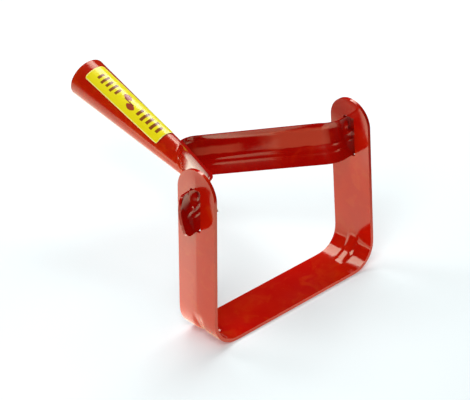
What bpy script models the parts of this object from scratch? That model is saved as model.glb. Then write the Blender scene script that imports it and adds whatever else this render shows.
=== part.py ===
"""Head of a swinging stirrup hoe: a handle socket welded to a yoke, and a stirrup blade rocking on it.

World axes: +X along the blade, +Y back towards the handle, +Z up, origin under the middle of the blade.
Lengths are in metres and angles in degrees.
"""

import math

import bmesh
import bpy
from mathutils import Matrix, Vector

OBJECT_NAME = "stirrup_hoe_head"
GAP = 0.0003  # between pieces that touch
CUT_MARGIN = 0.005  # how far a cutter runs past the wall it cuts

# Stirrup: one flat strap bent into a U
BLADE_WIDTH = 0.158  # over the arms' outer faces, at the ground
STRAP_WIDTH = 0.036
STRAP_THICKNESS = 0.0025
ARM_LEAN = 2.66  # each arm leans in towards its top
ARM_LENGTH = 0.1313  # from the ground to the top of its round end
BEND_RADIUS = 0.020  # outer
RIB_DEPTH = 0.0026  # the rib pressed into each bend
RIB_HALF_WIDTH = 0.005
BEND_STEPS = 12
END_STEPS = 9
BLADE_STEPS = 4
ARM_STEPS = 4

# Rocking joint: a slot in each arm for the yoke's tips, which lean on the slots' back edges as drawn
PIVOT_HEIGHT = 0.1017
SLOT_WIDTH = 0.0101
SLOT_HEIGHT = 0.0308
SLOT_SHIFT = 0.00055  # of the slot's middle, towards the back
SLOT_CORNER = 0.0015
SLOT_CORNER_STEPS = 4

# Yoke: a pressed channel strip bent into a V, in a plane that falls towards the back
YOKE_TILT = 15.2
YOKE_HALF_ANGLE = 27.9
YOKE_VERTEX = 0.110  # where the branches' outer faces would meet, back from the pivot
YOKE_THICKNESS = 0.0022
TOP_CURL = 0.0022  # how far the upper lip curls forward
BOTTOM_CURL = 0.0008
LIP_SHARPNESS = 4  # power of the curl's curve over half the strip's height: 2 is a round trough
CHANNEL_HEIGHTS = (0, 0.35, 0.6, 0.78, 0.9, 1)  # where that curve is sampled
BRANCH_TOP = 0.0163  # edges of the strip, above and below the yoke's plane
BRANCH_BOTTOM = -0.0146
TIP_TOP = 0.0148
TIP_BOTTOM = -0.0146
TIP_TWIST = 3.0  # the tips stand this much nearer to upright than the branches
APEX_RADIUS = 0.0104  # outer face
APEX_STEPS = 5
TIP_BEND_RADIUS = 0.0095  # outer face
TIP_BEND_STEPS = 6
TIP_SWEEP = 7.0  # the tips pass the arms pointing this far back from the pivot's direction
TIP_BACK = 0.0040  # the tips' outer face where it passes the arms, back from the pivot
HOOK_START = 0.0753  # from the middle: past the arms, the tips are bent forwards
HOOK_TURN = 21.5
HOOK_RADIUS = 0.008  # outer face
HOOK_STEPS = 4
TIP_END = 0.0880  # half the yoke's width over its tips
TIP_CORNER = 0.006
CORNER_STEPS = 4

# Handle socket: a sheet rolled into a tapered tube, with its seam underneath
MOUTH_BACK = 0.2073
MOUTH_HEIGHT = 0.1051
SOCKET_RISE = 16.4  # the socket climbs towards its mouth
SOCKET_LENGTH = 0.126  # to beyond the yoke's outer face, before it is cut to it
MOUTH_RADIUS = 0.0160
SOCKET_TAPER = 3.46  # half angle
SOCKET_WALL = 0.0018
SEAM_WIDTH = 0.0008
SOCKET_SIDES = 48

# Label: a sticker around the socket's upper side
LABEL_START = 0.0093  # from the mouth
LABEL_LENGTH = 0.0834
LABEL_WIDTH = 0.019
LABEL_TURN = 12.0  # of its middle from the top, towards -X
LABEL_THICKNESS = 0.0002
LABEL_STEPS_LONG = 6
LABEL_STEPS_ROUND = 10

ENAMEL_RED = (0.47, 0.018, 0.006)
LABEL_YELLOW = (0.80, 0.76, 0.02)


def clear_scene():
    for obj in list(bpy.data.objects):
        bpy.data.objects.remove(obj, do_unlink=True)


def new_collection(name, parent):
    collection = bpy.data.collections.new(name)
    parent.children.link(collection)
    return collection


def painted(name, colour, roughness):
    material = bpy.data.materials.new(name)
    material.use_nodes = True
    shader = material.node_tree.nodes["Principled BSDF"]
    shader.inputs["Base Color"].default_value = (*colour, 1)
    shader.inputs["Roughness"].default_value = roughness
    shader.inputs["Metallic"].default_value = 0
    return material


def add_object(name, bm, collection, material=None):
    """Makes an object of the bmesh, with its faces pointing out."""
    bmesh.ops.recalc_face_normals(bm, faces=bm.faces)
    mesh = bpy.data.meshes.new(name)
    bm.to_mesh(mesh)
    bm.free()
    mesh.shade_smooth()
    mesh.set_sharp_from_angle(angle=math.radians(35))
    obj = bpy.data.objects.new(name, mesh)
    if material:
        mesh.materials.append(material)
    collection.objects.link(obj)
    return obj


def add_cutter(name, bm, collection):
    cutter = add_object(name, bm, collection)
    cutter.hide_render = True
    cutter.display_type = "WIRE"
    return cutter


def cut(obj, cutter):
    modifier = obj.modifiers.new("cut_" + cutter.name, "BOOLEAN")
    modifier.operation = "DIFFERENCE"
    modifier.object = cutter


def sheet(rows):
    """An open surface through rows of points that all hold the same number."""
    bm = bmesh.new()
    grid = [[bm.verts.new(point) for point in row] for row in rows]
    for low, high in zip(grid, grid[1:]):
        for i in range(len(low) - 1):
            bm.faces.new((low[i], low[i + 1], high[i + 1], high[i]))
    return bm


def loft(rings):
    """A closed solid through rings of points that all hold the same number."""
    bm = bmesh.new()
    loops = [[bm.verts.new(point) for point in ring] for ring in rings]
    for low, high in zip(loops, loops[1:]):
        for i in range(len(low)):
            j = (i + 1) % len(low)
            bm.faces.new((low[i], low[j], high[j], high[i]))
    return bm, loops


def prism(outline, extent):
    """A solid of the outline's (y, z) points, from -extent to +extent along X."""
    bm, loops = loft([[(x, y, z) for y, z in outline] for x in (-extent, extent)])
    for loop in loops:
        bm.faces.new(loop)
    return bm


def steps(start, end, count):
    return [start + (end - start) * i / count for i in range(count + 1)]


def arc(centre, radius, start, end, count):
    """Points of an arc between two angles, in degrees."""
    angles = [math.radians(a) for a in steps(start, end, count)]
    return [(centre[0] + radius * math.cos(a), centre[1] + radius * math.sin(a)) for a in angles]


# ---- Stirrup ----


def strap_path():
    """(point, inward normal, width factor, rib factor) along half the strap's middle, from the blade."""
    lean = math.radians(ARM_LEAN)
    middle = BEND_RADIUS - STRAP_THICKNESS / 2
    bend_x = BLADE_WIDTH / 2 - BEND_RADIUS / math.tan((math.pi / 2 - lean) / 2)
    centre = Vector((bend_x, 0, BEND_RADIUS))
    up, blade_level = Vector((0, 0, 1)), STRAP_THICKNESS / 2
    path = [(Vector((x, 0, blade_level)), up, 1, 0) for x in steps(0, bend_x, BLADE_STEPS)]
    sweep = math.pi / 2 + lean
    for i in range(1, BEND_STEPS + 1):
        angle = -math.pi / 2 + sweep * i / BEND_STEPS
        out = Vector((math.cos(angle), 0, math.sin(angle)))
        path.append((centre + middle * out, -out, 1, math.sin(math.pi * i / BEND_STEPS) ** 2))
    along = Vector((-math.sin(lean), 0, math.cos(lean)))
    inward = Vector((-math.cos(lean), 0, -math.sin(lean)))
    foot = Vector((BLADE_WIDTH / 2, 0, 0)) + inward * STRAP_THICKNESS / 2
    start = (path[-1][0] - foot).dot(along)
    round_start = ARM_LENGTH - STRAP_WIDTH / 2
    path += [(foot + along * h, inward, 1, 0) for h in steps(start, round_start, ARM_STEPS)[1:]]
    for i in range(1, END_STEPS + 1):
        angle = math.pi / 2 * i / END_STEPS
        height = round_start + STRAP_WIDTH / 2 * math.sin(angle)
        path.append((foot + along * height, inward, math.cos(angle), 0))
    return path


def strap_columns():
    """Distances across the strap, close together over the rib."""
    rib = [RIB_HALF_WIDTH * f for f in (-1, -0.75, -0.5, -0.25, 0, 0.25, 0.5, 0.75, 1)]
    return [-STRAP_WIDTH / 2, *rib, STRAP_WIDTH / 2]


def strap_row(point, inward, width, rib):
    row = []
    for y in strap_columns():
        press = rib * RIB_DEPTH * math.cos(min(1, abs(y) / RIB_HALF_WIDTH) * math.pi / 2) ** 2
        row.append(point + inward * press + Vector((0, y * width, -PIVOT_HEIGHT)))
    return row


def slot_outline():
    """The slot's (y, z) outline about the pivot."""
    y, z = SLOT_WIDTH / 2 - SLOT_CORNER, SLOT_HEIGHT / 2 - SLOT_CORNER
    points = []
    for centre, start in (((y, z), 0), ((-y, z), 90), ((-y, -z), 180), ((y, -z), 270)):
        points += arc(centre, SLOT_CORNER, start, start + 90, SLOT_CORNER_STEPS)
    return [(y + SLOT_SHIFT, z) for y, z in points]


def make_stirrup(parts, cutters, material):
    bm = sheet([strap_row(*station) for station in strap_path()])
    bmesh.ops.remove_doubles(bm, verts=bm.verts, dist=1e-7)
    stirrup = add_object("stirrup_blade", bm, parts, material)
    stirrup.location.z = PIVOT_HEIGHT
    mirror = stirrup.modifiers.new("other_half", "MIRROR")
    mirror.merge_threshold = 0.00001
    thicken = stirrup.modifiers.new("thickness", "SOLIDIFY")
    thicken.thickness = STRAP_THICKNESS
    thicken.offset = 0
    thicken.use_even_offset = True
    slot = add_cutter("arm_slots", prism(slot_outline(), BLADE_WIDTH / 2 + CUT_MARGIN), cutters)
    slot.location.z = PIVOT_HEIGHT
    cut(stirrup, slot)


# ---- Yoke: (u, v, w) are along the pivot, back in the yoke's plane, and square to that plane ----


def yoke_frame():
    return Matrix.Translation((0, 0, PIVOT_HEIGHT)) @ Matrix.Rotation(math.radians(-YOKE_TILT), 4, "X")


def direction(angle):
    return Vector((math.cos(math.radians(angle)), math.sin(math.radians(angle))))


def meeting(first, first_reach, second, second_reach):
    """The point at these distances along two directions."""
    rows = Matrix((first, second))
    return rows.inverted() @ Vector((first_reach, second_reach))


def apex_centre():
    return Vector((0, YOKE_VERTEX - APEX_RADIUS / math.sin(math.radians(YOKE_HALF_ANGLE))))


def half_yoke_path():
    """(outer face point, outward normal, low edge, high edge, twist) from the apex to a tip."""
    branch = (BRANCH_BOTTOM, BRANCH_TOP)
    tip = (TIP_BOTTOM, TIP_TOP)
    path = []
    for angle in steps(90, YOKE_HALF_ANGLE, APEX_STEPS):
        out = direction(angle)
        path.append((apex_centre() + out * APEX_RADIUS, out, *branch, 0))
    normal, tip_normal = direction(YOKE_HALF_ANGLE), direction(90 + TIP_SWEEP)
    at_arm = Vector((BLADE_WIDTH / 2 - PIVOT_HEIGHT * math.sin(math.radians(ARM_LEAN)), TIP_BACK))
    branch_reach = normal.y * YOKE_VERTEX + TIP_BEND_RADIUS
    centre = meeting(normal, branch_reach, tip_normal, tip_normal.dot(at_arm) + TIP_BEND_RADIUS)
    branch_start, branch_end = path[-1][0], centre - normal * TIP_BEND_RADIUS
    path += [(branch_start.lerp(branch_end, t), normal, *branch, 0) for t in steps(0, 1, 4)[1:-1]]
    for i, angle in enumerate(steps(YOKE_HALF_ANGLE, 90 + TIP_SWEEP, TIP_BEND_STEPS)):
        out = direction(angle)
        part = i / TIP_BEND_STEPS
        edges = [b + (t - b) * part for b, t in zip(branch, tip)]
        path.append((centre - out * TIP_BEND_RADIUS, out, *edges, TIP_TWIST * part))
    along = Vector((tip_normal.y, -tip_normal.x))
    bend_end = path[-1][0]
    hook_start = bend_end + along * (HOOK_START - bend_end.x) / along.x
    path += [(bend_end.lerp(hook_start, t), tip_normal, *tip, TIP_TWIST) for t in steps(0, 1, 3)[1:]]
    for angle in steps(90 + TIP_SWEEP, 90 + TIP_SWEEP - HOOK_TURN, HOOK_STEPS)[1:]:
        out = direction(angle)
        path.append((hook_start + (out - tip_normal) * HOOK_RADIUS, out, *tip, TIP_TWIST))
    return path + half_tip_path(path[-1][0], out)


def half_tip_path(start, out):
    """The rest of a tip beyond its hook, with its two rounded corners."""
    along = Vector((out.y, -out.x))
    corner_start = (TIP_END - start.x) / along.x - TIP_CORNER
    path = [(start + along * corner_start, out, TIP_BOTTOM, TIP_TOP, TIP_TWIST)]
    for i in range(1, CORNER_STEPS + 1):
        angle = math.pi / 2 * i / CORNER_STEPS
        shrink = TIP_CORNER * (1 - math.cos(angle))
        point = start + along * (corner_start + TIP_CORNER * math.sin(angle))
        path.append((point, out, TIP_BOTTOM + shrink, TIP_TOP - shrink, TIP_TWIST))
    return path


def channel_ring(point, out, low, high, twist):
    """The channel's section: its outer face from the bottom lip up, then its inner face down."""
    middle, half = (low + high) / 2, (high - low) / 2
    outer = [(BOTTOM_CURL * h**LIP_SHARPNESS, middle - h * half) for h in reversed(CHANNEL_HEIGHTS[1:])]
    outer += [(TOP_CURL * h**LIP_SHARPNESS, middle + h * half) for h in CHANNEL_HEIGHTS]
    outer = [(depth + w * math.tan(math.radians(twist)), w) for depth, w in outer]
    inner = [(depth + YOKE_THICKNESS, w) for depth, w in reversed(outer)]
    return [(*(point - out * depth), w) for depth, w in outer + inner]


def mirrored(ring):
    return [(-u, v, w) for u, v, w in ring]


def make_yoke(parts, material):
    rings = [channel_ring(*station) for station in half_yoke_path()]
    bm, loops = loft([mirrored(ring) for ring in reversed(rings[1:])] + rings)
    count = len(loops[0])
    for loop in (loops[0], loops[-1]):
        for i in range(count // 2 - 1):
            bm.faces.new((loop[i], loop[i + 1], loop[count - 2 - i], loop[count - 1 - i]))
    yoke = add_object("yoke", bm, parts, material)
    yoke.matrix_world = yoke_frame()


def make_yoke_clearance(cutters):
    """A wedge that fills the V out to a gap past its outer face."""
    nose = arc(apex_centre(), APEX_RADIUS + GAP, YOKE_HALF_ANGLE, 180 - YOKE_HALF_ANGLE, 2 * APEX_STEPS)
    normal = direction(YOKE_HALF_ANGLE)
    along = Vector((normal.y, -normal.x)) * YOKE_VERTEX
    first, last = Vector(nose[0]) + along, Vector(nose[-1]) + Vector((-along.x, along.y))
    outline = [first, *nose, last]
    bm, loops = loft([[(u, v, w) for u, v in outline] for w in (-2 * STRAP_WIDTH, 2 * STRAP_WIDTH)])
    for loop in loops:
        bm.faces.new(loop)
    wedge = add_cutter("yoke_clearance", bm, cutters)
    wedge.matrix_world = yoke_frame()
    return wedge


# ---- Socket and label: local +Z runs out of the mouth, +Y is the upper side and +X points to world -X ----


def socket_frame():
    turn = Matrix.Rotation(math.radians(SOCKET_RISE), 4, "X") @ Matrix.Rotation(math.radians(-90), 4, "X")
    flip = Matrix.Rotation(math.radians(180), 4, "Z")
    return Matrix.Translation((0, MOUTH_BACK, MOUTH_HEIGHT)) @ turn @ flip


def socket_radius(depth):
    """The socket's outer radius at a distance from its mouth."""
    return MOUTH_RADIUS - depth * math.tan(math.radians(SOCKET_TAPER))


def make_socket(parts, cutters, material):
    small = socket_radius(SOCKET_LENGTH)
    profile = (
        (MOUTH_RADIUS, 0),
        (small, -SOCKET_LENGTH),
        (small - SOCKET_WALL, -SOCKET_LENGTH),
        (MOUTH_RADIUS - SOCKET_WALL, 0),
    )
    bm = bmesh.new()
    corners = [bm.verts.new((r, 0, z)) for r, z in profile]
    for i in range(len(corners)):
        bm.edges.new((corners[i], corners[(i + 1) % len(corners)]))
    socket = add_object("handle_socket", bm, parts, material)
    socket.matrix_world = socket_frame()
    turned = socket.modifiers.new("turned", "SCREW")
    turned.angle = math.tau
    turned.steps = turned.render_steps = SOCKET_SIDES
    turned.use_merge_vertices = True
    turned.merge_threshold = 0.00001
    seam = bmesh.new()
    bmesh.ops.create_cube(seam, size=1)
    bmesh.ops.scale(seam, vec=(SEAM_WIDTH, MOUTH_RADIUS, SOCKET_LENGTH + 2 * CUT_MARGIN), verts=seam.verts)
    middle = (0, -socket_radius(SOCKET_LENGTH / 2) + SOCKET_WALL / 2, -SOCKET_LENGTH / 2)
    bmesh.ops.translate(seam, vec=middle, verts=seam.verts)
    seam_cutter = add_cutter("socket_seam", seam, cutters)
    seam_cutter.matrix_world = socket_frame()
    cut(socket, seam_cutter)
    cut(socket, make_yoke_clearance(cutters))


def make_label(parts, material):
    rows = []
    for depth in steps(LABEL_START, LABEL_START + LABEL_LENGTH, LABEL_STEPS_LONG):
        radius = socket_radius(depth) + GAP
        row = []
        for across in steps(-LABEL_WIDTH / 2, LABEL_WIDTH / 2, LABEL_STEPS_ROUND):
            angle = math.radians(90 - LABEL_TURN) + across / radius
            row.append((radius * math.cos(angle), radius * math.sin(angle), -depth))
        rows.append(row)
    label = add_object("socket_label", sheet(rows), parts, material)
    label.matrix_world = socket_frame()
    thicken = label.modifiers.new("thickness", "SOLIDIFY")
    thicken.thickness = LABEL_THICKNESS
    thicken.offset = 1
    thicken.use_even_offset = True


def main():
    clear_scene()
    root = bpy.context.scene.collection
    parts = new_collection(OBJECT_NAME, root)
    cutters = new_collection("cutters", root)
    red = [painted(name, ENAMEL_RED, 0.2) for name in ("stirrup_enamel", "yoke_enamel", "socket_enamel")]
    make_stirrup(parts, cutters, red[0])
    make_yoke(parts, red[1])
    make_socket(parts, cutters, red[2])
    make_label(parts, painted("label_yellow", LABEL_YELLOW, 0.3))


main()
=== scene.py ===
"""Looks of the stirrup hoe head: glossy red enamel, a printed label and a pale studio table.

World axes: +X along the blade and the rocking axis, +Y back towards the handle, +Z up. Lengths are in metres.
"""

import math

import bmesh
import bpy
from mathutils import Matrix, Vector, noise


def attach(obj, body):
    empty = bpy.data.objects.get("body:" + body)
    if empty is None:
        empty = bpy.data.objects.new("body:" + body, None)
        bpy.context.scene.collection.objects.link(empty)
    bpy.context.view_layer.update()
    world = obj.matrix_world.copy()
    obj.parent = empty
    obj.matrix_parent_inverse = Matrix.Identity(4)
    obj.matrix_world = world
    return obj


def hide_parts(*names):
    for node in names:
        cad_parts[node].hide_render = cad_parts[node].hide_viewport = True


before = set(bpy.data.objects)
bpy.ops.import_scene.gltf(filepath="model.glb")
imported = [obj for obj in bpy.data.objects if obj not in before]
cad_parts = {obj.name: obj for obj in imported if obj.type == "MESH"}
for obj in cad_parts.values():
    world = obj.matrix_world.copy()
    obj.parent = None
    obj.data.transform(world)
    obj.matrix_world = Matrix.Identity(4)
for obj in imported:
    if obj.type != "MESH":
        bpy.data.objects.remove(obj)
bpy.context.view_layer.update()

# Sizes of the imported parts. Two differ: the ribs are drawn shallower and wider, and the seam finer
BLADE_WIDTH = 0.158
STRAP_WIDTH = 0.036
STRAP_THICKNESS = 0.0025
ARM_LEAN = math.radians(2.66)
ARM_LENGTH = 0.1313
BEND_RADIUS = 0.020
RIB_DEPTH = 0.0014
RIB_HALF_WIDTH = 0.0058
PIVOT_HEIGHT = 0.1017
SLOT_WIDTH, SLOT_HEIGHT, SLOT_SHIFT = 0.0101, 0.0308, 0.00055
SLOT_CORNER = 0.0015
YOKE_TILT = math.radians(15.2)
YOKE_HALF_ANGLE = math.radians(27.9)
YOKE_VERTEX = 0.110
YOKE_THICKNESS = 0.0022
TOP_CURL = 0.0022
BOTTOM_CURL = 0.0008
BRANCH_TOP, BRANCH_BOTTOM = 0.0163, -0.0146
TIP_TOP, TIP_BOTTOM = 0.0148, -0.0146
TIP_TWIST = math.radians(3.0)
APEX_RADIUS = 0.0104
TIP_BEND_RADIUS = 0.0095
TIP_SWEEP = math.radians(7.0)
TIP_BACK = 0.0040
HOOK_START = 0.0753
HOOK_TURN = math.radians(21.5)
HOOK_RADIUS = 0.008
TIP_END = 0.0880
TIP_CORNER = 0.006
MOUTH = Vector((0, 0.2073, 0.1051))
SOCKET_RISE = math.radians(16.4)
MOUTH_RADIUS = 0.0160
SOCKET_TAPER = math.tan(math.radians(3.46))
SOCKET_WALL = 0.0018
SEAM_WIDTH = 0.0007
LABEL_START, LABEL_LENGTH, LABEL_WIDTH = 0.0093, 0.0834, 0.019
LABEL_TURN = math.radians(12)
LABEL_LIFT = 0.0004

# Sizes of details that only the drawn parts have
ARM_CREASE = 0.00022
STRAP_ROUNDING, SHEET_ROUNDING = 0.00045, 0.0005
RIDGE_HEIGHT, RIDGE_WIDTH = 0.00040, 0.0006
NEAR_TRIM, NEAR_TRIM_PLACE, NEAR_TRIM_REACH = 0.0068, 0.0592, 0.0092
LIP_START, LIP_POWER, CURL_POWER = 0.66, 1.6, 3
SOCKET_SINK = 0.0004
WELD_RADIUS, WELD_LIFT = 0.0012, 0.0003
LABEL_CORNER, LABEL_THICKNESS = 0.0024, 0.00015
MM = 1000

# Linear colours: deep, bright and orange tones of each enamel
STIRRUP_REDS = (0.46, 0.003, 0.0008), (0.50, 0.009, 0.001), (0.51, 0.026, 0.002)
YOKE_REDS = (0.33, 0.0015, 0.0006), (0.38, 0.003, 0.0008), (0.40, 0.010, 0.0012)
SOCKET_REDS = (0.42, 0.008, 0.001), (0.47, 0.014, 0.001), (0.49, 0.034, 0.002)
# Dust specks, and a paler tone painted on the yoke's inner faces as a painted reflection
DUST, PAINTED_REFLECTION_TONE = (0.62, 0.16, 0.06, 1), (0.46, 0.050, 0.025, 1)

STUDIO_MIDDLE = Vector((0, 0.05, 0.06))
CAMERA_TARGET = Vector((0, 0, 0.05))
CAMERA_AZIMUTH, CAMERA_ELEVATION, CAMERA_ROLL = (math.radians(a) for a in (-41.8746, 29.7682, -2.1908))
CAMERA_DISTANCE, CAMERA_LEFT, CAMERA_RAISE = 1.1530772, 0.0303668, 0.0253818
CAMERA_LENS = 126.44


# ---- Mesh helpers ----


def spread(start, end, count):
    """Evenly spaced numbers from start to end, in this many steps."""
    return [start + (end - start) * i / count for i in range(count + 1)]


def bell(x, width):
    """1 at 0, falling smoothly to nothing past a few widths."""
    return math.exp(-((x / width) ** 2))


def fade(x, low, high):
    """0 below low, 1 above high, smooth between."""
    t = min(1, max(0, (x - low) / (high - low)))
    return t * t * (3 - 2 * t)


def smooth_object(name, bm, sharp_angle=40):
    """A smooth-shaded object made from bm, with sharp edges above an angle in degrees."""
    bmesh.ops.recalc_face_normals(bm, faces=bm.faces)
    mesh = bpy.data.meshes.new(name)
    bm.to_mesh(mesh)
    bm.free()
    mesh.shade_smooth()
    mesh.set_sharp_from_angle(angle=math.radians(sharp_angle))
    obj = bpy.data.objects.new(name, mesh)
    bpy.context.scene.collection.objects.link(obj)
    return obj


def grid_faces(bm, loops, closed):
    """Quads between each row of vertices and the next."""
    for low, high in zip(loops, loops[1:]):
        count = len(low)
        for i in range(count if closed else count - 1):
            j = (i + 1) % count
            bm.faces.new((low[i], low[j], high[j], high[i]))


def bake_modifiers(obj):
    """Replaces the object's mesh with what its modifiers make of it."""
    graph = bpy.context.evaluated_depsgraph_get()
    final = obj.evaluated_get(graph)
    mesh = bpy.data.meshes.new_from_object(final, preserve_all_data_layers=True, depsgraph=graph)
    mesh.name = obj.name
    obj.modifiers.clear()
    obj.data = mesh


def round_edges(obj, width, segments=3, angle=40):
    bevel = obj.modifiers.new("edges", "BEVEL")
    bevel.width = width
    bevel.segments = segments
    bevel.limit_method = "ANGLE"
    bevel.angle_limit = math.radians(angle)
    bevel.use_clamp_overlap = True
    bevel.harden_normals = True


# ---- Stirrup blade ----


def eased_bend(turn, radius):
    """(offset, heading) along a bend as deep as an arc of this radius, with a curvature that comes and goes."""
    count = 48
    parts = [(i + 0.5) / count for i in range(count)]
    weights = [fade(part, 0, 0.35) * (1 - fade(part, 0.65, 1)) for part in parts]
    heading, at, path = 0.0, Vector(), [(Vector(), 0.0)]
    for weight in weights:
        step = turn * weight / sum(weights)
        middle = heading + step / 2
        at = at + Vector((math.cos(middle), 0, math.sin(middle)))
        heading += step
        path.append((at.copy(), heading))
    side = path[-1][0].length / 2 / math.cos(turn / 2)
    corner = Vector((side, 0, 0))
    depth = (path[count // 2][0] - corner).length
    scale = radius * (1 / math.cos(turn / 2) - 1) / depth
    return [(offset * scale, angle) for offset, angle in path]


def strap_stations():
    """(point, inward normal, width factor, rib factor, crease factor) along half the strap's middle."""
    along = Vector((-math.sin(ARM_LEAN), 0, math.cos(ARM_LEAN)))
    inward = Vector((-math.cos(ARM_LEAN), 0, -math.sin(ARM_LEAN)))
    foot = Vector((BLADE_WIDTH / 2, 0, 0)) + inward * STRAP_THICKNESS / 2
    up = Vector((0, 0, 1))
    bend = eased_bend(math.pi / 2 + ARM_LEAN, BEND_RADIUS - STRAP_THICKNESS / 2)
    bend_x = (foot - bend[-1][0] - up * STRAP_THICKNESS / 2).dot(inward) / inward.x
    bend_start = Vector((bend_x, 0, STRAP_THICKNESS / 2))
    stations = [(Vector((x, 0, STRAP_THICKNESS / 2)), up, 1, 0, 0) for x in spread(0, bend_x, 14)]
    for i, (offset, angle) in enumerate(bend[1:], 1):
        part = i / (len(bend) - 1)
        inside = Vector((-math.sin(angle), 0, math.cos(angle)))
        rib = fade(part, 0.16, 0.34) * (1 - fade(part, 0.66, 0.90))
        stations.append((bend_start + offset, inside, 1, rib, fade(part, 0.6, 1)))
    start = (stations[-1][0] - foot).dot(along)
    round_start = ARM_LENGTH - STRAP_WIDTH / 2
    stations += [(foot + along * h, inward, 1, 0, 1) for h in spread(start, round_start, 16)[1:]]
    end_steps = 30
    for i in range(1, end_steps + 1):
        angle = math.pi / 2 * i / end_steps
        height = round_start + STRAP_WIDTH / 2 * math.sin(angle)
        width = max(math.cos(angle), 1e-4)
        stations.append((foot + along * height, inward, width, 0, 1 - fade(i / end_steps, 0.2, 0.8)))
    return stations


def strap_columns():
    """Places across the strap, closer together over the rib."""
    rib = spread(-RIB_HALF_WIDTH, RIB_HALF_WIDTH, 24)
    side = spread(RIB_HALF_WIDTH, STRAP_WIDTH / 2, 6)[1:]
    return [-y for y in reversed(side)] + rib + side


def slot_outline():
    """(y, z) around a slot, from the rocking axis."""
    y, z = SLOT_WIDTH / 2 - SLOT_CORNER, SLOT_HEIGHT / 2 - SLOT_CORNER
    points = []
    for centre, start in (((y, z), 0), ((-y, z), 90), ((-y, -z), 180), ((y, -z), 270)):
        for degrees in spread(start, start + 90, 8):
            a = math.radians(degrees)
            along, up = SLOT_CORNER * math.cos(a), SLOT_CORNER * math.sin(a)
            points.append((centre[0] + SLOT_SHIFT + along, centre[1] + up))
    return points


def make_stirrup():
    bm = bmesh.new()
    columns = strap_columns()
    halves = []
    for sign in (-1, 1):
        half = []
        for point, inward, width, rib, creased in strap_stations():
            row = []
            for y in columns:
                press = rib * RIB_DEPTH * (1 - fade(abs(y), 0.30 * RIB_HALF_WIDTH, RIB_HALF_WIDTH))
                press -= creased * ARM_CREASE * (1 - abs(y) / (STRAP_WIDTH / 2)) * width
                at = point + inward * press + Vector((0, y * width, 0))
                row.append(Vector((at.x * sign, at.y, at.z)))
            half.append(row)
        halves.append(half)
    full = halves[0][:0:-1] + halves[1]
    grid_faces(bm, [[bm.verts.new(p) for p in row] for row in full], False)
    bmesh.ops.remove_doubles(bm, verts=bm.verts, dist=2e-5)
    stirrup = smooth_object("enamelled_stirrup_blade", bm)
    thicken = stirrup.modifiers.new("thickness", "SOLIDIFY")
    thicken.thickness = STRAP_THICKNESS
    thicken.offset = 0
    thicken.use_even_offset = True
    cutter_bm = bmesh.new()
    loops = []
    for x in (-0.1, 0.1):
        loops.append([cutter_bm.verts.new((x, y, z + PIVOT_HEIGHT)) for y, z in slot_outline()])
    grid_faces(cutter_bm, loops, True)
    for loop in loops:
        cutter_bm.faces.new(loop)
    cutter = smooth_object("slot_cutter", cutter_bm)
    cut = stirrup.modifiers.new("slots", "BOOLEAN")
    cut.operation = "DIFFERENCE"
    cut.object = cutter
    round_edges(stirrup, STRAP_ROUNDING, 3, 50)
    bake_modifiers(stirrup)
    bpy.data.objects.remove(cutter)
    return stirrup


# ---- Yoke ----


def yoke_frame():
    """The yoke's own frame: y back and z up along its tilted height, from the rocking axis."""
    return Matrix.Translation((0, 0, PIVOT_HEIGHT)) @ Matrix.Rotation(-YOKE_TILT, 4, "X")


def direction(angle):
    return Vector((math.cos(angle), math.sin(angle)))


def apex_centre():
    return Vector((0, YOKE_VERTEX - APEX_RADIUS / math.sin(YOKE_HALF_ANGLE)))


def half_yoke_stations():
    """(outer face point, outward normal, low edge, high edge, twist) from the apex to a tip."""
    stations = []
    for angle in spread(math.pi / 2, YOKE_HALF_ANGLE, 16):
        out = direction(angle)
        stations.append((apex_centre() + out * APEX_RADIUS, out, BRANCH_BOTTOM, BRANCH_TOP, 0))
    normal, tip_normal = direction(YOKE_HALF_ANGLE), direction(math.pi / 2 + TIP_SWEEP)
    at_arm = Vector((BLADE_WIDTH / 2 - PIVOT_HEIGHT * math.sin(ARM_LEAN), TIP_BACK))
    reaches = Vector((normal.y * YOKE_VERTEX + TIP_BEND_RADIUS, tip_normal.dot(at_arm) + TIP_BEND_RADIUS))
    centre = Matrix((normal, tip_normal)).inverted() @ reaches
    branch_start, branch_end = stations[-1][0], centre - normal * TIP_BEND_RADIUS
    for t in spread(0, 1, 40)[1:-1]:
        stations.append((branch_start.lerp(branch_end, t), normal, BRANCH_BOTTOM, BRANCH_TOP, 0))
    bend_steps = 22
    for i, angle in enumerate(spread(YOKE_HALF_ANGLE, math.pi / 2 + TIP_SWEEP, bend_steps)):
        out = direction(angle)
        part = i / bend_steps
        low = BRANCH_BOTTOM + (TIP_BOTTOM - BRANCH_BOTTOM) * part
        high = BRANCH_TOP + (TIP_TOP - BRANCH_TOP) * part
        stations.append((centre - out * TIP_BEND_RADIUS, out, low, high, TIP_TWIST * part))
    along = Vector((tip_normal.y, -tip_normal.x))
    bend_end = stations[-1][0]
    hook_start = bend_end + along * (HOOK_START - bend_end.x) / along.x
    for t in spread(0, 1, 28)[1:]:
        stations.append((bend_end.lerp(hook_start, t), tip_normal, TIP_BOTTOM, TIP_TOP, TIP_TWIST))
    for angle in spread(math.pi / 2 + TIP_SWEEP, math.pi / 2 + TIP_SWEEP - HOOK_TURN, 12)[1:]:
        out = direction(angle)
        stations.append((hook_start + (out - tip_normal) * HOOK_RADIUS, out, TIP_BOTTOM, TIP_TOP, TIP_TWIST))
    start, along = stations[-1][0], Vector((out.y, -out.x))
    corner_start = (TIP_END - start.x) / along.x - TIP_CORNER
    for d in spread(0, corner_start, 10)[1:]:
        stations.append((start + along * d, out, TIP_BOTTOM, TIP_TOP, TIP_TWIST))
    corner_steps = 14
    for i in range(1, corner_steps + 1):
        angle = math.pi / 2 * i / corner_steps
        shrink = TIP_CORNER * (1 - math.cos(angle))
        point = start + along * (corner_start + TIP_CORNER * math.sin(angle))
        stations.append((point, out, TIP_BOTTOM + shrink, TIP_TOP - shrink, TIP_TWIST))
    return stations


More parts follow.
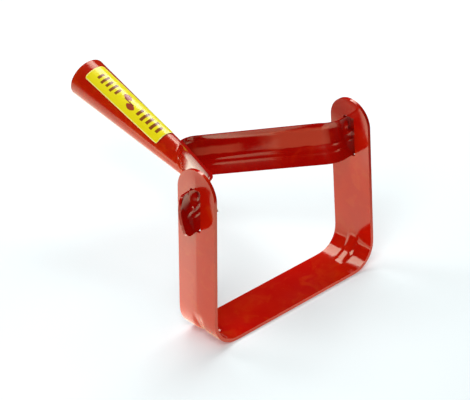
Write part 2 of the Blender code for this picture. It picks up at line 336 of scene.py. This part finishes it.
def crease(u, w):
    """Two fine ridges pressed along the branch, raised again where it bends."""
    drift = 0.0012 * fade(u, 0.012, 0.050)
    height = bell(w + 0.0018 - drift, RIDGE_WIDTH) + bell(w + 0.0057, RIDGE_WIDTH)
    along = fade(u, 0.008, 0.016) * (1 - 0.75 * fade(u, 0.040, 0.052)) + 2.0 * bell(u - 0.0595, 0.003)
    return RIDGE_HEIGHT * height * along


def fold(u, w, centre, angle, length, width):
    """A long ridge about a centre (u, w), turned by an angle in degrees."""
    du, dw = u - centre[0], w - centre[1]
    c, n = math.cos(math.radians(angle)), math.sin(math.radians(angle))
    return bell(du * c + dw * n, length) * bell(dw * c - du * n, width)


def staking(u, w):
    """The folds squeezed up on a tip's front face where it is bent past the arm."""
    lift = 0.0018 * fold(u, w, (0.0712, 0.0086), 82, 0.0028, 0.0019)
    lift += 0.0024 * fold(u, w, (0.0742, 0.0026), -17, 0.0042, 0.0018)
    lift += 0.0012 * fold(u, w, (0.0734, -0.0028), -10, 0.0030, 0.0008)
    return lift * (1 + 0.1 * noise.noise(Vector((u * 420, w * 420, 3.1))))


def lip_curl(h, on_tip):
    """How far the strip turns over at a height h from -1 to 1: only at its edges, but all over on a tip."""
    depth = TOP_CURL if h > 0 else BOTTOM_CURL
    whole = depth * abs(h) ** CURL_POWER
    edge = depth * max(0, (h - LIP_START) / (1 - LIP_START)) ** LIP_POWER if h > 0 else whole
    return edge + (whole - edge) * on_tip


def channel_ring(point, out, low, high, twist, mirror):
    """The strip's outline at a station. The mirrored half has its lower edge trimmed at the bend."""
    if mirror:
        low += NEAR_TRIM * bell(point.x - NEAR_TRIM_PLACE, NEAR_TRIM_REACH)
    middle, half = (low + high) / 2, (high - low) / 2
    on_tip = fade(point.x, 0.058, 0.067)
    rows = 48
    ring = []
    heights = [math.sin(h * math.pi / 2) for h in spread(-1, 1, rows)]
    for h in heights:
        w = middle + h * half
        ring.append((lip_curl(h, on_tip) + w * math.tan(twist), w))
    inner = []
    for depth, w in reversed(ring):
        u = abs(point.x - out.x * (depth + YOKE_THICKNESS))
        lift = crease(u, w) + staking(u, w)
        inner.append((depth + YOKE_THICKNESS + lift, w))
    points = []
    for depth, w in ring + inner:
        at = point - out * depth
        points.append((-at.x if mirror else at.x, at.y, w))
    return points


def make_yoke():
    stations = half_yoke_stations()
    rings = [channel_ring(*s, True) for s in reversed(stations[1:])]
    rings += [channel_ring(*s, False) for s in stations]
    bm = bmesh.new()
    loops = [[bm.verts.new(p) for p in ring] for ring in rings]
    grid_faces(bm, loops, True)
    count = len(loops[0])
    for loop in (loops[0], loops[-1]):
        for i in range(count // 2 - 1):
            bm.faces.new((loop[i], loop[i + 1], loop[count - 2 - i], loop[count - 1 - i]))
    yoke = smooth_object("enamelled_yoke", bm, 50)
    round_edges(yoke, SHEET_ROUNDING, 3, 50)
    bake_modifiers(yoke)
    yoke.data.transform(yoke_frame())
    return yoke


# ---- Socket, weld and label ----


def socket_frame():
    """The socket's own frame: z out of the mouth and y up, from the mouth's middle."""
    turn = Matrix.Rotation(SOCKET_RISE, 4, "X") @ Matrix.Rotation(-math.pi / 2, 4, "X")
    return Matrix.Translation(MOUTH) @ turn @ Matrix.Rotation(math.pi, 4, "Z")


def socket_radius(depth):
    return MOUTH_RADIUS - depth * SOCKET_TAPER


TO_YOKE = yoke_frame().inverted() @ socket_frame()


def outside_yoke(angle, depth, radius):
    """How far a point of the socket is from the yoke's outer face."""
    at = TO_YOKE @ Vector((radius * math.cos(angle), radius * math.sin(angle), -depth))
    flat = Vector((abs(at.x), at.y))
    away = flat - apex_centre()
    normal = direction(YOKE_HALF_ANGLE)
    if math.atan2(away.y, away.x) > YOKE_HALF_ANGLE:
        return away.length - APEX_RADIUS
    return flat.dot(normal) - YOKE_VERTEX * normal.y


def meeting_depth(angle, inset=0.0):
    """The depth at which the socket's wall reaches the yoke's outer face."""
    low, high = 0.080, 0.135
    for _ in range(30):
        middle = (low + high) / 2
        if outside_yoke(angle, middle, socket_radius(middle) - inset) > 0:
            low = middle
        else:
            high = middle
    return low


def neck_fold(depth, end, angle):
    """The folds left in the wall by the press that closed the neck."""
    back = end - depth
    side = 0.6 + 0.4 * math.sin(angle)
    return 0.00045 * side * bell(back - 0.0050, 0.0011) - 0.0004 * bell(back - 0.0030, 0.0010)


def make_socket():
    sides, rows = 120, 90
    bm = bmesh.new()
    loops = []
    depths = [t**0.85 for t in spread(0, 1, rows)]
    seam = SEAM_WIDTH / 2 / MOUTH_RADIUS
    for face in (0, 1):
        layer = []
        for t in depths if face == 0 else list(reversed(depths)):
            row = []
            for s in spread(0, 1, sides):
                angle = -math.pi / 2 + seam + (math.tau - 2 * seam) * s
                end = meeting_depth(angle, SOCKET_WALL * face) + SOCKET_SINK
                depth = end * t
                radius = socket_radius(depth) - SOCKET_WALL * face + neck_fold(depth, end, angle)
                row.append(bm.verts.new((radius * math.cos(angle), radius * math.sin(angle), -depth)))
            layer.append(row)
        loops += layer
    loops.append(loops[0])
    grid_faces(bm, loops, False)
    outer, inner = loops[: rows + 1], loops[rows + 1 : -1]
    for i in range(rows):
        for s in (0, -1):
            bm.faces.new((outer[i][s], outer[i + 1][s], inner[rows - 1 - i][s], inner[rows - i][s]))
    socket = smooth_object("enamelled_handle_socket", bm, 50)
    round_edges(socket, SHEET_ROUNDING, 3, 50)
    bake_modifiers(socket)
    socket.data.transform(socket_frame())
    return socket


def make_weld():
    """A fillet of weld metal where the socket's end meets the yoke."""
    bm = bmesh.new()
    frame_matrix = socket_frame()
    around, section = 160, 14
    path = []
    for i in range(around):
        angle = math.tau * i / around
        depth = meeting_depth(angle)
        radius = socket_radius(depth)
        x, y = radius * math.cos(angle), radius * math.sin(angle)
        path.append(frame_matrix @ Vector((x, y, -depth + WELD_LIFT)))
    middle = sum(path, Vector()) / around
    loops = []
    for i, at in enumerate(path):
        along = (path[(i + 1) % around] - path[i - 1]).normalized()
        side = (at - middle).cross(along).cross(along).normalized()
        lift = along.cross(side)
        swell = WELD_RADIUS * (1 + 0.11 * math.sin(i * math.tau / 5) + 0.3 * noise.noise(at * 350))
        ring = []
        for k in range(section):
            a = math.tau * k / section
            ring.append(bm.verts.new(at + side * swell * math.cos(a) + lift * swell * 0.9 * math.sin(a)))
        loops.append(ring)
    loops.append(loops[0])
    grid_faces(bm, loops, True)
    return smooth_object("neck_weld", bm, 180)


def make_label():
    """The sticker, with (length, width) in millimetres as its UV map."""
    bm = bmesh.new()
    uv_layer = bm.loops.layers.uv.new("UVMap")
    places = {}
    rows = []
    for s in spread(0, 1, 120):
        depth = LABEL_START + LABEL_LENGTH * s
        end_gap = min(depth - LABEL_START, LABEL_START + LABEL_LENGTH - depth)
        short = max(0, LABEL_CORNER - end_gap)
        inset = LABEL_CORNER - math.sqrt(max(0, LABEL_CORNER**2 - short**2))
        half = LABEL_WIDTH / 2 - inset
        row = []
        for across in spread(-half, half, 40):
            radius = socket_radius(depth) + LABEL_LIFT
            angle = math.pi / 2 - LABEL_TURN + across / radius
            vert = bm.verts.new((radius * math.cos(angle), radius * math.sin(angle), -depth))
            places[vert] = ((depth - LABEL_START) * MM, across * MM)
            row.append(vert)
        rows.append(row)
    grid_faces(bm, rows, False)
    for face in bm.faces:
        for loop in face.loops:
            loop[uv_layer].uv = places[loop.vert]
    label = smooth_object("label_sticker", bm, 60)
    thicken = label.modifiers.new("thickness", "SOLIDIFY")
    thicken.thickness = LABEL_THICKNESS
    thicken.offset = 0
    bake_modifiers(label)
    label.data.transform(socket_frame())
    return label


# ---- Materials ----


class Shader:
    """A material's node tree, with short ways to add nodes."""

    def __init__(self, name):
        self.material = bpy.data.materials.new(name)
        self.material.use_nodes = True
        self.tree = self.material.node_tree
        self.bsdf = self.tree.nodes["Principled BSDF"]

    def add(self, kind, **sockets):
        node = self.tree.nodes.new(kind)
        for key, value in sockets.items():
            self.put(node.inputs[key.replace("_", " ")], value)
        return node

    def put(self, socket, value):
        if isinstance(value, bpy.types.NodeSocket):
            self.tree.links.new(value, socket)
        else:
            socket.default_value = value

    def math(self, operation, a, b=0.0, c=0.0, clamp=False):
        node = self.tree.nodes.new("ShaderNodeMath")
        node.operation = operation
        node.use_clamp = clamp
        for i, value in enumerate((a, b, c)):
            self.put(node.inputs[i], value)
        return node.outputs[0]

    def mix(self, factor, a, b):
        node = self.tree.nodes.new("ShaderNodeMix")
        node.data_type = "RGBA"
        self.put(node.inputs["Factor"], factor)
        self.put(node.inputs["A"], a)
        self.put(node.inputs["B"], b)
        return node.outputs["Result"]

    def noise(self, scale, detail=3, distortion=0.0, vector=None):
        node = self.add("ShaderNodeTexNoise", Scale=scale, Detail=detail, Distortion=distortion)
        self.put(node.inputs["Vector"], vector or self.place())
        return node.outputs["Fac"]

    def place(self):
        return self.add("ShaderNodeTexCoord").outputs["Object"]

    def invert(self, value):
        return self.math("SUBTRACT", 1.0, value)

    def distance(self, dx, dy):
        return self.math("SQRT", self.math("ADD", self.math("MULTIPLY", dx, dx), self.math("MULTIPLY", dy, dy)))

    def window(self, value, low, high, rise, fall):
        """1 between low and high, with soft edges inside them."""
        start = self.band(value, low, low + rise)
        return self.math("MULTIPLY", start, self.invert(self.band(value, high - fall, high)))

    def band(self, value, low, high):
        """0 at low and 1 at high, smooth between."""
        node = self.tree.nodes.new("ShaderNodeMapRange")
        node.interpolation_type = "SMOOTHSTEP"
        for i, v in enumerate((value, low, high)):
            self.put(node.inputs[i], v)
        return node.outputs[0]


def painted_reflection_mask(s):
    """Zones on the inner faces of the yoke's branches, above the ridges, where a paler tone is painted as a
    reflection.
    """
    split = s.add("ShaderNodeSeparateXYZ")
    s.put(split.inputs[0], s.place())
    x = s.math("ABSOLUTE", split.outputs["X"])
    y, z = split.outputs["Y"], s.math("SUBTRACT", split.outputs["Z"], PIVOT_HEIGHT)
    cosine, sine = math.cos(YOKE_TILT), math.sin(YOKE_TILT)
    back = s.math("SUBTRACT", s.math("MULTIPLY", y, cosine), s.math("MULTIPLY", z, sine))
    high = s.math("ADD", s.math("MULTIPLY", y, sine), s.math("MULTIPLY", z, cosine))
    normal = direction(YOKE_HALF_ANGLE)
    depth = s.math("ADD", s.math("MULTIPLY", x, normal.x), s.math("MULTIPLY", back, normal.y))
    outer_face = YOKE_VERTEX * normal.y
    inside = s.invert(s.band(depth, outer_face - 0.0014, outer_face - 0.0008))
    drift = s.math("MULTIPLY", s.math("SUBTRACT", s.noise(90, 3), 0.5), 0.006)
    x, high = s.math("ADD", x, drift), s.math("ADD", high, s.math("MULTIPLY", drift, 0.4))

    def zone(near, far, low, top):
        across = s.window(x, near, far, 0.006, 0.006)
        return s.math("MULTIPLY", across, s.window(high, low, top, 0.0010, 0.0018))

    both = s.math("MAXIMUM", zone(0.030, 0.058, -0.0004, 0.0142), zone(0.003, 0.025, 0.0005, 0.0078))
    return s.math("MULTIPLY", both, inside)


def enamel(name, deep, bright, orange, roughness, with_painted_reflection=False):
    """Dipped enamel: uneven colour, faint orange peel and dust specks, with a painted reflection on the yoke's
    inner faces when that flag is set.
    """
    s = Shader(name)
    cloud = s.noise(28, 4, 0.6)
    patch = s.noise(70, 5, 1.0)
    speck = s.noise(900, 2)
    base = s.mix(s.band(cloud, 0.35, 0.68), (*deep, 1), (*bright, 1))
    base = s.mix(s.math("MULTIPLY", s.band(patch, 0.50, 0.72), 0.7), base, (*orange, 1))
    base = s.mix(s.math("MULTIPLY", s.band(speck, 0.70, 0.78), 0.35), base, DUST)
    if with_painted_reflection:
        # Painted reflection: a paler tone on the yoke's inner faces, above the ridges
        base = s.mix(painted_reflection_mask(s), base, PAINTED_REFLECTION_TONE)
    s.put(s.bsdf.inputs["Base Color"], base)
    rough = s.add("ShaderNodeMapRange")
    s.put(rough.inputs["Value"], s.noise(55, 4))
    s.put(rough.inputs["From Min"], 0.3)
    s.put(rough.inputs["From Max"], 0.7)
    s.put(rough.inputs["To Min"], roughness * 0.8)
    s.put(rough.inputs["To Max"], roughness * 1.25)
    s.put(s.bsdf.inputs["Roughness"], rough.outputs["Result"])
    s.bsdf.inputs["IOR"].default_value = 1.5
    s.bsdf.inputs["Specular Tint"].default_value = (1.0, 0.97, 0.72, 1)
    peel = s.noise(330, 2)
    wave = s.noise(75, 2)
    height = s.math("ADD", s.math("MULTIPLY", peel, 0.25), wave)
    bump = s.add("ShaderNodeBump", Strength=0.10, Distance=0.0004, Height=height)
    s.put(s.bsdf.inputs["Normal"], bump.outputs["Normal"])
    return s.material


def label_print():
    """Yellow film with a paler border and a plain printed pattern: bars either side of a seedling."""
    s = Shader("label_film")
    uv = s.add("ShaderNodeUVMap")
    uv.uv_map = "UVMap"
    split = s.add("ShaderNodeSeparateXYZ")
    s.put(split.inputs[0], uv.outputs["UV"])
    x, y = split.outputs["X"], split.outputs["Y"]

    def away(value, centre):
        return s.math("ABSOLUTE", s.math("SUBTRACT", value, centre))

    def outside(cx, cy, half_x, half_y):
        past_x = s.math("SUBTRACT", away(x, cx), half_x)
        return s.math("MAXIMUM", past_x, s.math("SUBTRACT", away(y, cy), half_y))

    def box(cx, cy, half_x, half_y):
        return s.invert(s.band(outside(cx, cy, half_x, half_y), -0.12, 0.12))

    def leaf(cx, cy):
        tops = []
        for sign in (-1, 1):
            dx = s.math("SUBTRACT", x, cx)
            dy = s.math("SUBTRACT", y, cy + 3.0 * sign)
            tops.append(s.distance(dx, dy))
        return s.invert(s.band(s.math("MAXIMUM", *tops), 5.2, 5.5))

    marks = []
    for cx, half_y in ((9.0, 3.0), (14.0, 4.2), (19.0, 3.4), (24.0, 4.2), (29.0, 3.0)):
        marks.append(box(cx, 0, 1.25, half_y))
    for cx, half_y in ((55.0, 3.4), (60.4, 4.6), (65.8, 3.6), (71.2, 4.6), (76.6, 3.4)):
        marks.append(box(cx, 0, 1.4, half_y))
    ink = marks[0]
    for mark in marks[1:]:
        ink = s.math("MAXIMUM", ink, mark)
    sprout = s.math("MAXIMUM", leaf(38.0, 2.4), leaf(46.0, -2.4))
    stem = box(42.0, 0.0, 5.0, 0.45)
    yellow = s.mix(s.noise(60, 3), (0.80, 0.70, 0.006, 1), (0.86, 0.76, 0.012, 1))
    half_length, half_width, border = LABEL_LENGTH * MM / 2, LABEL_WIDTH * MM / 2, 0.75
    edge = outside(half_length, 0, half_length - border, half_width - border)
    colour = s.mix(s.band(edge, -0.12, 0.12), yellow, (0.86, 0.80, 0.22, 1))
    colour = s.mix(sprout, colour, (0.34, 0.05, 0.02, 1))
    colour = s.mix(stem, colour, (0.22, 0.03, 0.012, 1))
    colour = s.mix(s.math("MULTIPLY", ink, 0.94), colour, (0.20, 0.028, 0.010, 1))
    s.put(s.bsdf.inputs["Base Color"], colour)
    rough = s.math("ADD", s.math("MULTIPLY", s.noise(140, 3), 0.06), 0.13)
    s.put(s.bsdf.inputs["Roughness"], rough)
    bump = s.add("ShaderNodeBump", Strength=0.06, Distance=0.0003, Height=s.noise(160, 3))
    s.put(s.bsdf.inputs["Normal"], bump.outputs["Normal"])
    return s.material


def set_material(obj, material):
    obj.data.materials.clear()
    obj.data.materials.append(material)


# ---- Studio ----


def emitter(name, location, target, size, strength, colour=(1, 1, 1)):
    light = bpy.data.lights.new(name, "AREA")
    light.shape = "RECTANGLE"
    light.size, light.size_y = size
    # Radiance of a Lambertian emitter is power over area over pi
    light.energy = strength * size[0] * size[1] * math.pi
    light.color = colour
    obj = bpy.data.objects.new(name, light)
    obj.location = location
    obj.rotation_euler = (Vector(target) - Vector(location)).to_track_quat("-Z", "Y").to_euler()
    bpy.context.scene.collection.objects.link(obj)
    obj.visible_camera = False
    return obj


def sky_point(azimuth, elevation, distance):
    """A point seen from the object towards an azimuth from +Y to +X and an elevation, in degrees."""
    a, e = math.radians(azimuth), math.radians(elevation)
    aim = Vector((math.sin(a) * math.cos(e), math.cos(a) * math.cos(e), math.sin(e)))
    return aim * distance + STUDIO_MIDDLE


def make_floor():
    """The white table. Its reflections show pools of light that the camera doesn't see on it."""
    bm = bmesh.new()
    bmesh.ops.create_grid(bm, x_segments=2, y_segments=2, size=6)
    floor = smooth_object("studio_table", bm)
    s = Shader("table_white")
    s.tree.nodes.remove(s.bsdf)
    split = s.add("ShaderNodeSeparateXYZ")
    s.put(split.inputs[0], s.place())
    x, y = split.outputs["X"], split.outputs["Y"]
    # A wide pool of light behind the object
    far = s.distance(s.math("ADD", x, 0.07), s.math("SUBTRACT", y, 0.20))
    glow = s.invert(s.band(far, 0.14, 0.46))
    # A bright card-shaped patch of painted light on the table, from the near arm's foot, square to the view
    from_arm = s.math("ADD", x, 0.079)
    across = s.math("ADD", s.math("MULTIPLY", from_arm, 0.746), s.math("MULTIPLY", y, 0.666))
    ahead = s.math("SUBTRACT", s.math("MULTIPLY", y, 0.746), s.math("MULTIPLY", from_arm, 0.666))
    card = s.window(across, -0.006, 0.11, 0.015, 0.03)
    card = s.math("MULTIPLY", card, s.window(ahead, 0.0, 0.46, 0.03, 0.08))
    # A small pool in front, which lights the near arm's front edge
    side = s.distance(s.math("SUBTRACT", x, 0.03), s.math("ADD", y, 0.14))
    seen = s.add("ShaderNodeLightPath").outputs["Is Camera Ray"]
    strength = s.mix(glow, (0, 0, 0, 1), (0.66, 0.70, 0.42, 1))
    strength = s.mix(card, strength, (2.3, 2.1, 1.7, 1))
    strength = s.mix(s.band(side, 0.18, 0.05), strength, (1.7, 1.45, 1.15, 1))
    strength = s.mix(seen, strength, (0.14, 0.14, 0.14, 1))
    # Painted shade: outside the pool, the table's albedo drops to 0.10 in reflections, standing for the unlit
    # studio
    white = s.mix(glow, (0.10, 0.10, 0.10, 1), (0.80, 0.80, 0.80, 1))
    white = s.mix(seen, white, (0.72, 0.79, 0.80, 1))
    diffuse = s.add("ShaderNodeBsdfDiffuse", Color=white)
    emission = s.add("ShaderNodeEmission", Color=strength)
    both = s.tree.nodes.new("ShaderNodeAddShader")
    s.put(both.inputs[0], diffuse.outputs[0])
    s.put(both.inputs[1], emission.outputs[0])
    s.put(s.tree.nodes["Material Output"].inputs["Surface"], both.outputs[0])
    set_material(floor, s.material)


def make_world():
    """Near white where the camera sees it, and dark in reflections."""
    world = bpy.data.worlds.new("studio")
    bpy.context.scene.world = world
    world.use_nodes = True
    tree = world.node_tree
    background = tree.nodes["Background"]
    path = tree.nodes.new("ShaderNodeLightPath")
    mix = tree.nodes.new("ShaderNodeMix")
    mix.data_type = "RGBA"
    mix.inputs["A"].default_value = (0.015, 0.015, 0.015, 1)
    mix.inputs["B"].default_value = (0.95, 0.95, 0.95, 1)
    tree.links.new(path.outputs["Is Camera Ray"], mix.inputs["Factor"])
    tree.links.new(mix.outputs["Result"], background.inputs["Color"])


def make_camera():
    level = Vector((math.cos(CAMERA_AZIMUTH), math.sin(CAMERA_AZIMUTH), 0))
    flat = Vector((math.sin(CAMERA_AZIMUTH), -math.cos(CAMERA_AZIMUTH), 0))
    back = flat * math.cos(CAMERA_ELEVATION) + Vector((0, 0, math.sin(CAMERA_ELEVATION)))
    up = back.cross(level)
    right = math.cos(CAMERA_ROLL) * level + math.sin(CAMERA_ROLL) * up
    upright = math.cos(CAMERA_ROLL) * up - math.sin(CAMERA_ROLL) * level
    camera = bpy.data.cameras.new("camera")
    camera.sensor_fit = "HORIZONTAL"
    camera.sensor_width = 36
    camera.lens = CAMERA_LENS
    obj = bpy.data.objects.new("camera", camera)
    place = CAMERA_TARGET + back * CAMERA_DISTANCE - right * CAMERA_LEFT + upright * CAMERA_RAISE
    obj.matrix_world = Matrix.Translation(place) @ Matrix((right, upright, back)).transposed().to_4x4()
    bpy.context.scene.collection.objects.link(obj)
    bpy.context.scene.camera = obj


def make_lights():
    emitter("softbox_back", sky_point(16, 56, 1.1), STUDIO_MIDDLE, (1.30, 0.42), 6.5)
    emitter("softbox_right", sky_point(76, 34, 1.1), STUDIO_MIDDLE, (0.46, 0.75), 5.0)
    emitter("key_left", sky_point(-128, 50, 1.1), STUDIO_MIDDLE, (0.45, 0.45), 8.0)
    fill = emitter("fill_left", (-0.33, -0.12, 0.16), (-0.075, 0, 0.06), (0.25, 0.25), 1.5)
    fill.visible_glossy = False


def main():
    scene = bpy.context.scene
    scene.view_settings.view_transform = "Standard"
    scene.view_settings.look = "None"
    make_camera()
    make_world()
    make_floor()
    make_lights()
    stirrup = make_stirrup()
    set_material(stirrup, enamel("stirrup_enamel", *STIRRUP_REDS, 0.10))
    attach(stirrup, "stirrup")
    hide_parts("stirrup_blade")
    yoke = make_yoke()
    # The yoke's enamel carries a painted reflection on its inner faces
    set_material(yoke, enamel("yoke_enamel", *YOKE_REDS, 0.11, with_painted_reflection=True))
    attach(yoke, "head")
    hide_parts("yoke")
    socket = make_socket()
    socket_enamel = enamel("socket_enamel", *SOCKET_REDS, 0.14)
    set_material(socket, socket_enamel)
    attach(socket, "head")
    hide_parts("handle_socket")
    weld = make_weld()
    set_material(weld, socket_enamel)
    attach(weld, "head")
    label = make_label()
    set_material(label, label_print())
    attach(label, "head")
    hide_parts("socket_label")


main()
